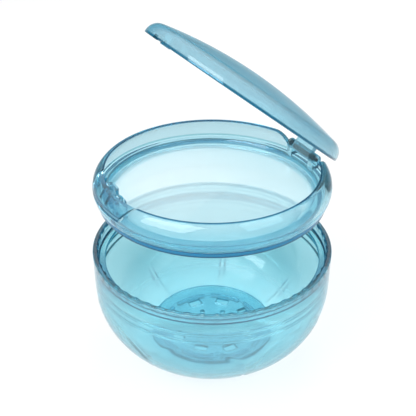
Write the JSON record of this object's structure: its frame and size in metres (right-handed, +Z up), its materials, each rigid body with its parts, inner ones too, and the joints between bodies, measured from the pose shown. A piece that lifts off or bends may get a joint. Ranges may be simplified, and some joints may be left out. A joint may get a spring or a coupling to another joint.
{
  "type": "denture case",
  "caption": "Soaking case for dentures: petal-footed bowl, lift-out tray with seal, strainer and a hinged domed lid with push-button latch.",
  "frame": {"origin": "centre of the underside of the bowl, on the surface it stands on", "axes": "+Z up along the axis of the bowl, +Y towards the hinge of the lid, -Y towards the latch button"},
  "size_m": [0.102, 0.102, 0.1451],
  "materials": {
    "bowl_plastic": "clear light blue, polished",
    "strainer_plastic": "clear light blue, polished",
    "tray_plastic": "clear light blue, polished",
    "seal_rubber": "clear dark blue, satin",
    "lid_plastic": "clear pale blue, polished",
    "button_plastic": "clear light blue, polished",
    "pin_steel": "plain steel wire",
    "spring_steel": "plain spring wire"
  },
  "bodies": {
    "bowl": {"bowl": "bowl_plastic", "strainer": "strainer_plastic"},
    "tray": {"tray": "tray_plastic", "tray_seal": "seal_rubber", "hinge_pin": "pin_steel", "latch_pin": "pin_steel", "latch_spring": "spring_steel"},
    "lid": {"lid": "lid_plastic"},
    "button": {"latch_button": "button_plastic"}
  },
  "joints": [
    {"name": "tray_lift", "type": "slide", "parent": "bowl", "child": "tray", "axis": [0, 0, 1], "range_m": [-0.028, 0.025]},
    {"name": "lid_hinge", "type": "hinge", "parent": "tray", "child": "lid", "pos_m": [0, 0.04461, 0.083], "axis": [-1, 0, 0], "range_deg": [-39, 71]},
    {"name": "latch_press", "type": "hinge", "parent": "tray", "child": "button", "pos_m": [0, -0.04261, 0.0842], "axis": [1, 0, 0], "range_deg": [0, 6.5], "stiffness_Nm_per_rad": 0.03, "springref_deg": -5.73}
  ]
}
